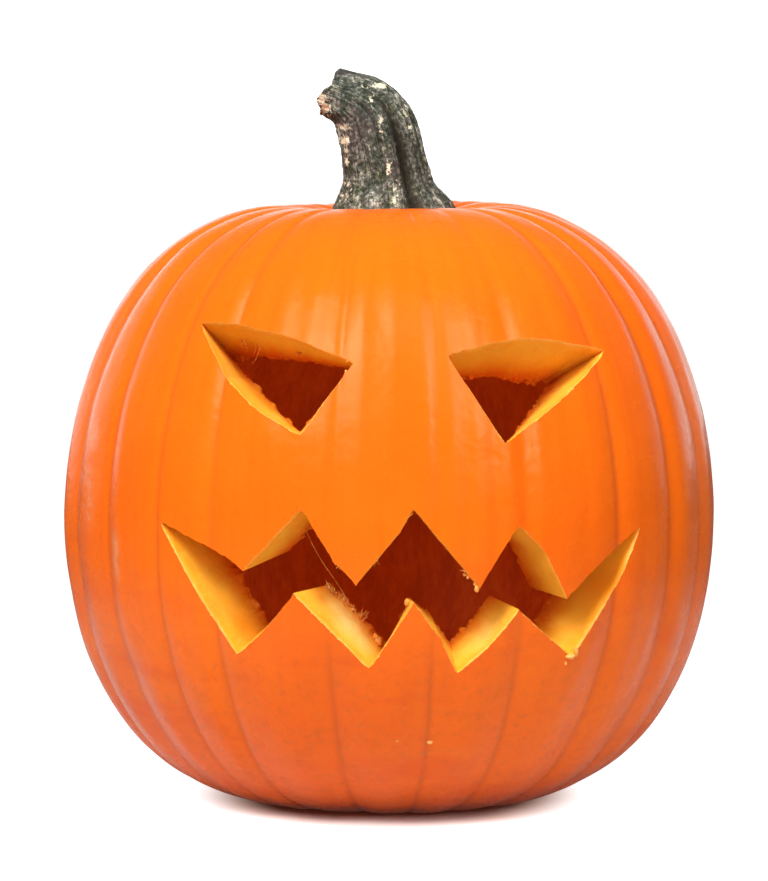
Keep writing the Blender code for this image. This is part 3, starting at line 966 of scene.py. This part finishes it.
def inside_material():
    """Scraped inner wall: deep orange, partly painted shade, with pale strings that the scoop left, and a
    painted glow for the light from outside.
    """
    made, tree, shader = material("inside", INSIDE_SHADER)
    strings = grain(tree, stretched(tree, object_place(tree), STRING_STRETCH), 1.0, 5.0, 0.65)
    # Deep red of the hollow: partly the wall's own colour, partly painted shade.
    colour = colour_mix(tree, span(tree, strings, *STRING_EDGE), INSIDE_COLOUR_AND_SHADE, STRING_COLOUR)
    tree.links.new(colour, shader.inputs["Base Color"])
    add_bump(tree, shader, strings, INSIDE_BUMP)
    return made


def stray_material(name, dark, pale):
    """Moist shreds of flesh, between these two colours."""
    made, tree, shader = material(name, STRAY_SHADER)
    tone = span(tree, grain(tree, object_place(tree), 500.0, 3.0), 0.35, 0.65)
    tree.links.new(colour_mix(tree, tone, dark, pale), shader.inputs["Base Color"])
    return made


def stem_material():
    """Dry corky stem: black-green to grey bark, finely speckled, with painted shade in the grooves, worn to
    cream, and a painted highlight along its right edge.
    """
    made, tree, shader = material("bark", BARK_SHADER)
    place = object_place(tree)
    groove = attribute(tree, "groove")
    along = stretched(tree, attribute(tree, "around", "Vector"), BARK_LINE_STRETCH)
    lines = grain(tree, along, 1.0, 4.0, 0.6)
    speckle = grain(tree, place, 620.0, 6.0, 0.72)
    regions = grain(tree, place, 120.0, 3.0, 0.6)
    # The grooves' share darkens the tone: painted shade.
    tone = times(tree, lines, BARK_LINE_SHARE)
    for pattern, share in (
        (speckle, BARK_SPECKLE_SHARE),
        (regions, BARK_REGION_SHARE),
        (groove, -BARK_GROOVE_SHADE_SHARE),
    ):
        tone = plus(tree, tone, times(tree, pattern, share))
    colour = colour_ramp(tree, tone, BARK_TONES)
    colour = tinted(tree, colour, grain(tree, place, 170.0, 4.0, 0.6), BARK_MOSS, "MULTIPLY")
    tall = stretched(tree, place, BARK_PLUM_STRETCH)
    colour = tinted(tree, colour, grain(tree, tall, 95.0), BARK_PLUM)
    # Painted shade: brown down the grooves' sides and near black at their bottoms.
    colour = tinted(tree, colour, groove, BARK_GROOVE_SIDE_SHADE)
    colour = tinted(tree, colour, groove, BARK_GROOVE_BOTTOM_SHADE)
    ragged = maths(tree, "SUBTRACT", grain(tree, place, 640.0, 6.0, 0.75), 0.5)
    worn_and_highlight = plus(tree, attribute(tree, "worn_and_highlight"), times(tree, ragged, WORN_RAGGEDNESS))
    # Worn cream wood, and a painted highlight along the right edge.
    colour = tinted(tree, colour, worn_and_highlight, WORN_WOOD_AND_HIGHLIGHT)
    tree.links.new(colour, shader.inputs["Base Color"])
    add_bump(tree, shader, plus(tree, lines, times(tree, speckle, 0.8)), BARK_BUMP)
    return made


def add_object(name, mesh, materials=()):
    obj = bpy.data.objects.new(name, mesh)
    for made in materials:
        mesh.materials.append(made)
    bpy.context.scene.collection.objects.link(obj)
    return obj


def set_slot(mesh, index):
    mesh.polygons.foreach_set("material_index", np.full(len(mesh.polygons), index, np.int32))


def applied(obj, cutters):
    """The object's mesh after its modifiers, with the cutters removed."""
    graph = bpy.context.evaluated_depsgraph_get()
    mesh = bpy.data.meshes.new_from_object(obj.evaluated_get(graph), depsgraph=graph)
    old = obj.data
    obj.modifiers.clear()
    obj.data = mesh
    bpy.data.meshes.remove(old)
    for cutter in cutters:
        bpy.data.objects.remove(cutter)
    return mesh


def mesh_points(mesh):
    points = np.empty(len(mesh.vertices) * 3, np.float32)
    mesh.vertices.foreach_get("co", points)
    return points.reshape(-1, 3).astype(float)


def write_attribute(mesh, name, values, kind="FLOAT", key="value"):
    made = mesh.attributes.new(name, kind, "POINT")
    made.data.foreach_set(key, np.asarray(values, np.float32).ravel())


def patch_share(points, patches):
    """1 in the middle of a patch, and 0 well away from them all."""
    share = np.zeros(len(points))
    for place, radius, strength in patches:
        away = np.linalg.norm((points / MM - np.array(place)) / np.array(radius), axis=1)
        share = np.maximum(share, strength * np.exp(-(away**2)))
    return share


def build_pumpkin():
    """The shell, with the rind, the cut flesh and the scraped inside as three materials."""
    materials = (skin_material(), flesh_material(), inside_material())
    skin = skin_mesh("pumpkin_shell")
    shell = add_object("pumpkin_shell", skin, materials)
    set_slot(skin, 0)
    skin_surface = surface_of(skin)
    guide = surface_of(cavity_mesh("guide", GUIDE_COLUMNS, GUIDE_ROWS, False))
    cutters = [(cavity_mesh("hollow", CAVITY_COLUMNS, CAVITY_ROWS, True), 2)]
    for name, corners in (
        ("left_eye_cut", LEFT_EYE),
        ("right_eye_cut", RIGHT_EYE),
        ("mouth_cut", UPPER_LIP + LOWER_LIP),
    ):
        cutters.append((opening_cutter(name, corners, skin_surface, guide), 1))
    made = []
    for mesh, slot in cutters:
        cutter = add_object(mesh.name, mesh, materials)
        set_slot(mesh, slot)
        cut = shell.modifiers.new("cut_" + mesh.name, "BOOLEAN")
        cut.operation = "DIFFERENCE"
        cut.solver = "MANIFOLD"
        cut.object = cutter
        made.append(cutter)
    mesh = applied(shell, made)
    points = mesh_points(mesh)
    azimuth = np.degrees(np.arctan2(points[:, 0], -points[:, 1]))
    radius = np.hypot(points[:, 0], points[:, 1])
    crease = crease_share(azimuth, radius, points[:, 2])
    # The groove mask places painted shade along the creases.
    write_attribute(mesh, "groove", crease * smoothstep(*RIB_START, radius))
    write_attribute(mesh, "depth", [skin_surface.find_nearest(Vector(p))[3] for p in points])
    # The amber mask places painted shade on the cut flesh.
    for name, patches in (("cream_and_lit", CREAM_AND_LIT_PATCHES), ("amber_shade", AMBER_SHADE_PATCHES), ("scuff", SCUFFS)):
        write_attribute(mesh, name, patch_share(points, patches))
    turn = np.radians(azimuth)
    around = np.stack([BODY_RADIUS * np.sin(turn), BODY_RADIUS * np.cos(turn), points[:, 2]], -1)
    write_attribute(mesh, "around", around, "FLOAT_VECTOR", "vector")
    mesh.shade_smooth()
    mesh.set_sharp_from_angle(angle=SHARP_ANGLE)
    return shell


def add_tube(bm, path, radii):
    """Thin tube along these points, closed at both ends."""
    rings = []
    for k, (place, radius) in enumerate(zip(path, radii)):
        ahead = (path[min(k + 1, len(path) - 1)] - path[max(k - 1, 0)]).normalized()
        side = ahead.orthogonal().normalized()
        up = ahead.cross(side)
        ring = []
        for corner in range(FIBRE_SIDES):
            turn = 2.0 * math.pi * corner / FIBRE_SIDES
            ring.append(bm.verts.new(place + radius * (math.cos(turn) * side + math.sin(turn) * up)))
        if rings:
            offsets = range(FIBRE_SIDES)
            twist = min(offsets, key=lambda d: (ring[d].co - rings[-1][0].co).length)
            ring = ring[twist:] + ring[:twist]
            for corner in offsets:
                after = (corner + 1) % FIBRE_SIDES
                bm.faces.new((rings[-1][corner], rings[-1][after], ring[after], ring[corner]))
        rings.append(ring)
    bm.faces.new(rings[0][::-1])
    bm.faces.new(rings[-1])


def finish_bits(bm, name, made):
    bmesh.ops.recalc_face_normals(bm, faces=bm.faces)
    mesh = mesh_from(bm, name)
    mesh.shade_smooth()
    return add_object(name, mesh, [made])


def build_fibres(surface, made):
    """Tufts of torn fibres at the cuts, and one long strand across the left of the mouth."""
    draw = np.random.default_rng(STRAY_SEED)
    bm = bmesh.new()
    for place, count, length, lean in TUFTS:
        for _ in range(count):
            near = Vector(place) * MM + Vector(draw.normal(0.0, FIBRE_SCATTER, 3))
            root, normal, _, _ = surface.find_nearest(near)
            way = Vector(lean) + FIBRE_RISE * normal + Vector(draw.normal(0.0, FIBRE_SPREAD, 3))
            way.normalize()
            step = length * MM * draw.uniform(*FIBRE_LENGTHS) / FIBRE_STEPS
            path = [root - normal * FIBRE_RADIUS]
            for _ in range(FIBRE_STEPS):
                way = (way + Vector(draw.normal(0.0, FIBRE_CURL, 3))).normalized()
                path.append(path[-1] + way * step)
            thick = FIBRE_RADIUS * draw.uniform(*FIBRE_THICKNESSES)
            shares = [1.0 - FIBRE_TAPER * k / FIBRE_STEPS for k in range(FIBRE_STEPS + 1)]
            add_tube(bm, path, [thick * share for share in shares])
    ends = [surface.find_nearest(Vector(STRAND[k]) * MM)[0] for k in (0, -1)]
    knots = [ends[0], *[Vector(place) * MM for place in STRAND[1:-1]], ends[1]]
    path = []
    for before, after in zip(knots, knots[1:]):
        for k in range(FIBRE_STEPS):
            wander = Vector(draw.normal(0.0, STRAND_WANDER, 3))
            path.append(before.lerp(after, k / FIBRE_STEPS) + wander)
    add_tube(bm, [*path, knots[-1]], [STRAND_RADIUS] * (len(path) + 1))
    return finish_bits(bm, "flesh_fibres", made)


def build_crumbs(surface, made):
    """Small crumbs of flesh, at the cuts and on the rind."""
    bm = bmesh.new()
    for place, sizes in CRUMBS:
        middle = Vector(place) * MM
        root, normal, _, _ = surface.find_nearest(middle)
        gap = max((middle - root).dot(normal), 0.0)
        middle = root + normal * min(gap, CRUMB_LIFT * max(sizes) * MM)
        ball = bmesh.ops.create_icosphere(bm, subdivisions=3, radius=1.0)
        for vert in ball["verts"]:
            out = Vector([c * size * MM for c, size in zip(vert.co, sizes)])
            ruffle = noise.noise((middle + out) / CRUMB_RUFFLE[0])
            vert.co = middle + out * (1.0 + CRUMB_RUFFLE[1] * ruffle)
    return finish_bits(bm, "flesh_crumbs", made)


def stem_section(place):
    """Section at this place along the list, on a smooth curve through the sections."""
    k = min(int(place), len(STEM_SECTIONS) - 2)
    share = place - k
    around = [STEM_SECTIONS[min(max(k + d, 0), len(STEM_SECTIONS) - 1)] for d in (-1, 0, 1, 2)]
    return [
        0.5
        * (
            2.0 * b
            + (c - a) * share
            + (2.0 * a - 5.0 * b + 4.0 * c - d) * share**2
            + (3.0 * b - a - 3.0 * c + d) * share**3
        )
        for a, b, c, d in zip(*around)
    ]


def bark_ridges(angles, run):
    """Uneven lengthwise ridges, as a share of the half width, at this length along the stem."""
    ridges = np.zeros_like(angles)
    for around, along, height in BARK_RIDGES:
        for k, angle in enumerate(angles):
            place = Vector((math.cos(angle) * around / 2.0, math.sin(angle) * around / 2.0, run * along))
            ridges[k] += height * noise.noise(place)
    return ridges


def worn_and_highlight_share(points, angles):
    """How much the bark is worn, or painted with a highlight, at these points, from the named patches."""
    front = np.cos(angles) > WORN_SIDE
    share = np.zeros(len(points))
    for patches, side in ((WORN_AND_HIGHLIGHT_FRONT, front), (WORN_BACK, ~front)):
        for x, z, half_width, half_height, strength in patches:
            across = (points[:, 0] - x * MM) / (half_width * MM)
            along = (points[:, 2] - z * MM) / (half_height * MM)
            share = np.maximum(share, strength * side * np.exp(-(across**2) - along**2))
    return share


def stem_rings():
    """Section, size, and shares of the break and of the bark's depth, from the foot to the end's middle."""
    last = len(STEM_SECTIONS) - 1
    rings = []
    for step in range(last * STEM_STEPS + 1):
        place = step / STEM_STEPS
        broken = float(smoothstep(last - END_BREAK_START, last, np.array(place)))
        bark = 1.0 - (1.0 - BARK_END_SHARE) * float(smoothstep(*BARK_END_REACH, np.array(place)))
        rings.append((stem_section(place), 1.0, broken, bark))
    for step in range(1, END_RINGS + 1):
        size = math.cos(0.5 * math.pi * step / (END_RINGS + 0.4))
        rings.append((STEM_SECTIONS[-1], size, 1.0, BARK_END_SHARE))
    return rings


def stem_ring(section, angles, radius, size, broken):
    """Points round the stem with these radii, moved along it where the end is broken."""
    x, z, _, tilt = section
    lean = math.radians(tilt)
    across = np.array([math.cos(lean), 0.0, math.sin(lean)])
    axis = np.array([-math.sin(lean), 0.0, math.cos(lean)])
    sideways = radius * np.sin(angles)
    ring = np.array([x, 0.0, z]) + across * sideways[:, None]
    ring[:, 1] -= radius * STEM_DEPTH * np.cos(angles)
    along = np.interp(sideways / MM, *zip(*END_BREAK)) * MM - END_DISH * (1.0 - size)
    along = along + END_SPLINTERS[1] * lumps(ring, END_SPLINTERS[0], 5.0)
    return ring + axis * (along * broken)[:, None]


def stem_faces(rows):
    """Quads between the rings, and one face at each end."""
    faces = []
    for row in range(rows - 1):
        for column in range(STEM_COLUMNS):
            after = (column + 1) % STEM_COLUMNS
            low = row * STEM_COLUMNS
            high = low + STEM_COLUMNS
            faces.append((low + column, low + after, high + after, high + column))
    faces.append(tuple(range(STEM_COLUMNS))[::-1])
    faces.append(tuple(range((rows - 1) * STEM_COLUMNS, rows * STEM_COLUMNS)))
    return faces


def build_stem():
    """The stem, ring by ring, with its place along the bark, its grooves, which carry painted shade, and its
    worn wood and painted highlight as attributes.
    """
    turns = np.arange(STEM_COLUMNS) * FULL_TURN / STEM_COLUMNS
    angles = np.radians(turns)
    grooves = round_bumps(turns, BARK_GROOVES)
    toes = round_bumps(turns, FOOT_TOES)
    rings = []
    run = 0.0
    before = None
    for section, size, broken, bark in stem_rings():
        x, z, half_width, _ = section
        middle = np.array([x, 0.0, z])
        if before is not None:
            run += float(np.linalg.norm(middle - before))
        before = middle
        groove = grooves * bark
        ridges = bark_ridges(angles, run)
        toe = toes * (1.0 - smoothstep(*FOOT_RISE, z))
        radius = half_width * size * (1.0 - groove + ridges + toe - BARK_MARGIN)
        place = np.full(STEM_COLUMNS, run + END_RUN * (1.0 - size))
        around = np.stack([angles * BARK_ROUND, place, np.zeros(STEM_COLUMNS)], -1)
        bare = np.full(STEM_COLUMNS, END_BARE * (1.0 - size**2))
        ring = stem_ring(section, angles, radius, size, broken)
        rings.append((ring, around, (groove - ridges) * size, bare))
    points, around, depth, bare = (np.concatenate(part) for part in zip(*rings))
    angle = np.tile(angles, len(rings))
    worn_and_highlight = np.maximum(worn_and_highlight_share(points, angle), bare)
    outward = np.stack([np.sin(angle), -np.cos(angle), np.zeros(len(angle))], -1)
    for k, (size, height) in enumerate(BARK_PITS):
        points = points + outward * (height * lumps(points, size, 3.0 + k))[:, None]
    mesh = bpy.data.meshes.new("stem_bark")
    mesh.from_pydata(points, [], stem_faces(len(rings)))
    write_attribute(mesh, "around", around, "FLOAT_VECTOR", "vector")
    # The groove mask carries painted shade.
    write_attribute(mesh, "groove", np.clip(depth / GROOVE_WHOLE, 0.0, 1.0))
    write_attribute(mesh, "worn_and_highlight", worn_and_highlight)
    mesh.shade_smooth()
    return add_object("stem_bark", mesh, [stem_material()])


def floor_material():
    """White floor: painted white for the camera by its own glow but for the shadow at the foot, with a
    painted bounce colour in that shadow, and dimmer far off as a source of light.
    """
    made, tree, shader = material("floor", {"Roughness": 0.9, "Specular IOR Level": 0.0})
    place = object_place(tree)
    radius = radius_of(tree, place)
    white = span(tree, radius, *FLOOR_POOL, FLOOR_BRIGHT, FLOOR_DIM)
    tone = add_node(tree, "CombineColor", white, white, white).outputs[0]
    tree.links.new(tone, shader.inputs["Base Color"])
    seen = seen_by_camera(tree)
    unseen = maths(tree, "SUBTRACT", 1.0, seen)
    # Painted light: the camera sees the floor glow white outside an ellipse round the foot, tinted with
    # painted bounce towards the shadow.
    edge = span(tree, radius_of(tree, stretched(tree, place, FLOOR_SQUEEZE)), *FLOOR_WHITE)
    plain = maths(tree, "MAXIMUM", edge, unseen)
    tree.links.new(colour_mix(tree, plain, FLOOR_BOUNCE, (1.0, 1.0, 1.0)), shader.inputs["Emission Color"])
    glow = times(tree, span(tree, radius, *FLOOR_GLOW_REACH, FLOOR_GLOW, 0.0), unseen)
    tree.links.new(plus(tree, times(tree, edge, seen), glow), shader.inputs["Emission Strength"])
    return made


def area_light(name, place, size, power):
    """Rectangle of light that faces the middle of the pumpkin."""
    light = bpy.data.lights.new(name, "AREA")
    light.shape = "RECTANGLE"
    light.size, light.size_y = size
    light.energy = power
    return aimed(name, light, place, CENTRE)


def aimed(name, data, place, target):
    """New light or camera at a place, looking at the target."""
    obj = bpy.data.objects.new(name, data)
    obj.location = place
    obj.rotation_euler = (Vector(target) - Vector(place)).to_track_quat("-Z", "Y").to_euler()
    bpy.context.scene.collection.objects.link(obj)
    return obj


def build_room():
    """Plain white room as the camera sees it, that lights the object unevenly."""
    world = bpy.data.worlds.new("studio")
    world.use_nodes = True
    tree = world.node_tree
    direction = add_node(tree, "TexCoord").outputs["Generated"]
    walls = span(tree, part_of(tree, direction, 1), *ROOM_TURN, ROOM_FRONT, ROOM_BACK)
    top = span(tree, part_of(tree, direction, 2), *ROOM_RISE)
    beside = times(tree, walls, maths(tree, "SUBTRACT", 1.0, top))
    light = plus(tree, beside, times(tree, top, ROOM_TOP))
    background = tree.nodes["Background"]
    background.inputs[0].default_value = (1.0, 1.0, 1.0, 1.0)
    tree.links.new(maths(tree, "MAXIMUM", light, seen_by_camera(tree)), background.inputs[1])
    bpy.context.scene.world = world


def build_floor():
    bm = bmesh.new()
    bmesh.ops.create_grid(bm, x_segments=1, y_segments=1, size=FLOOR_SIZE)
    add_object("floor", mesh_from(bm, "floor"), [floor_material()])


def build_studio():
    """White floor, white surroundings, soft lights and the camera."""
    bpy.context.scene.view_settings.view_transform = "Standard"
    build_room()
    build_floor()
    for name, azimuth, rise, size, power in STRIPS:
        turn, tilt = math.radians(azimuth), math.radians(rise)
        away = Vector((math.sin(turn) * math.cos(tilt), -math.cos(turn) * math.cos(tilt), math.sin(tilt)))
        area_light(name, CENTRE + away * STRIP_DISTANCE, size, power)
    overhead = area_light("overhead", OVERHEAD_PLACE, OVERHEAD_SIZE, OVERHEAD_POWER)
    overhead.visible_glossy = False
    camera = bpy.data.cameras.new("camera")
    camera.lens = CAMERA_LENS
    camera.sensor_width = SENSOR
    camera.clip_start = CAMERA_CLIP
    bpy.context.scene.camera = aimed("camera", camera, CAMERA_PLACE, CAMERA_TARGET)


def main():
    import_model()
    build_studio()
    pumpkin = build_pumpkin()
    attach(pumpkin, "root")
    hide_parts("pumpkin")
    surface = surface_of(pumpkin.data)
    fibres = build_fibres(surface, stray_material("fibre", *FIBRE_COLOURS))
    crumbs = build_crumbs(surface, stray_material("crumb", *CRUMB_COLOURS))
    for bits in (fibres, crumbs):
        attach(bits, "root")
    stem = build_stem()
    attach(stem, "root")
    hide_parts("stem")


main()
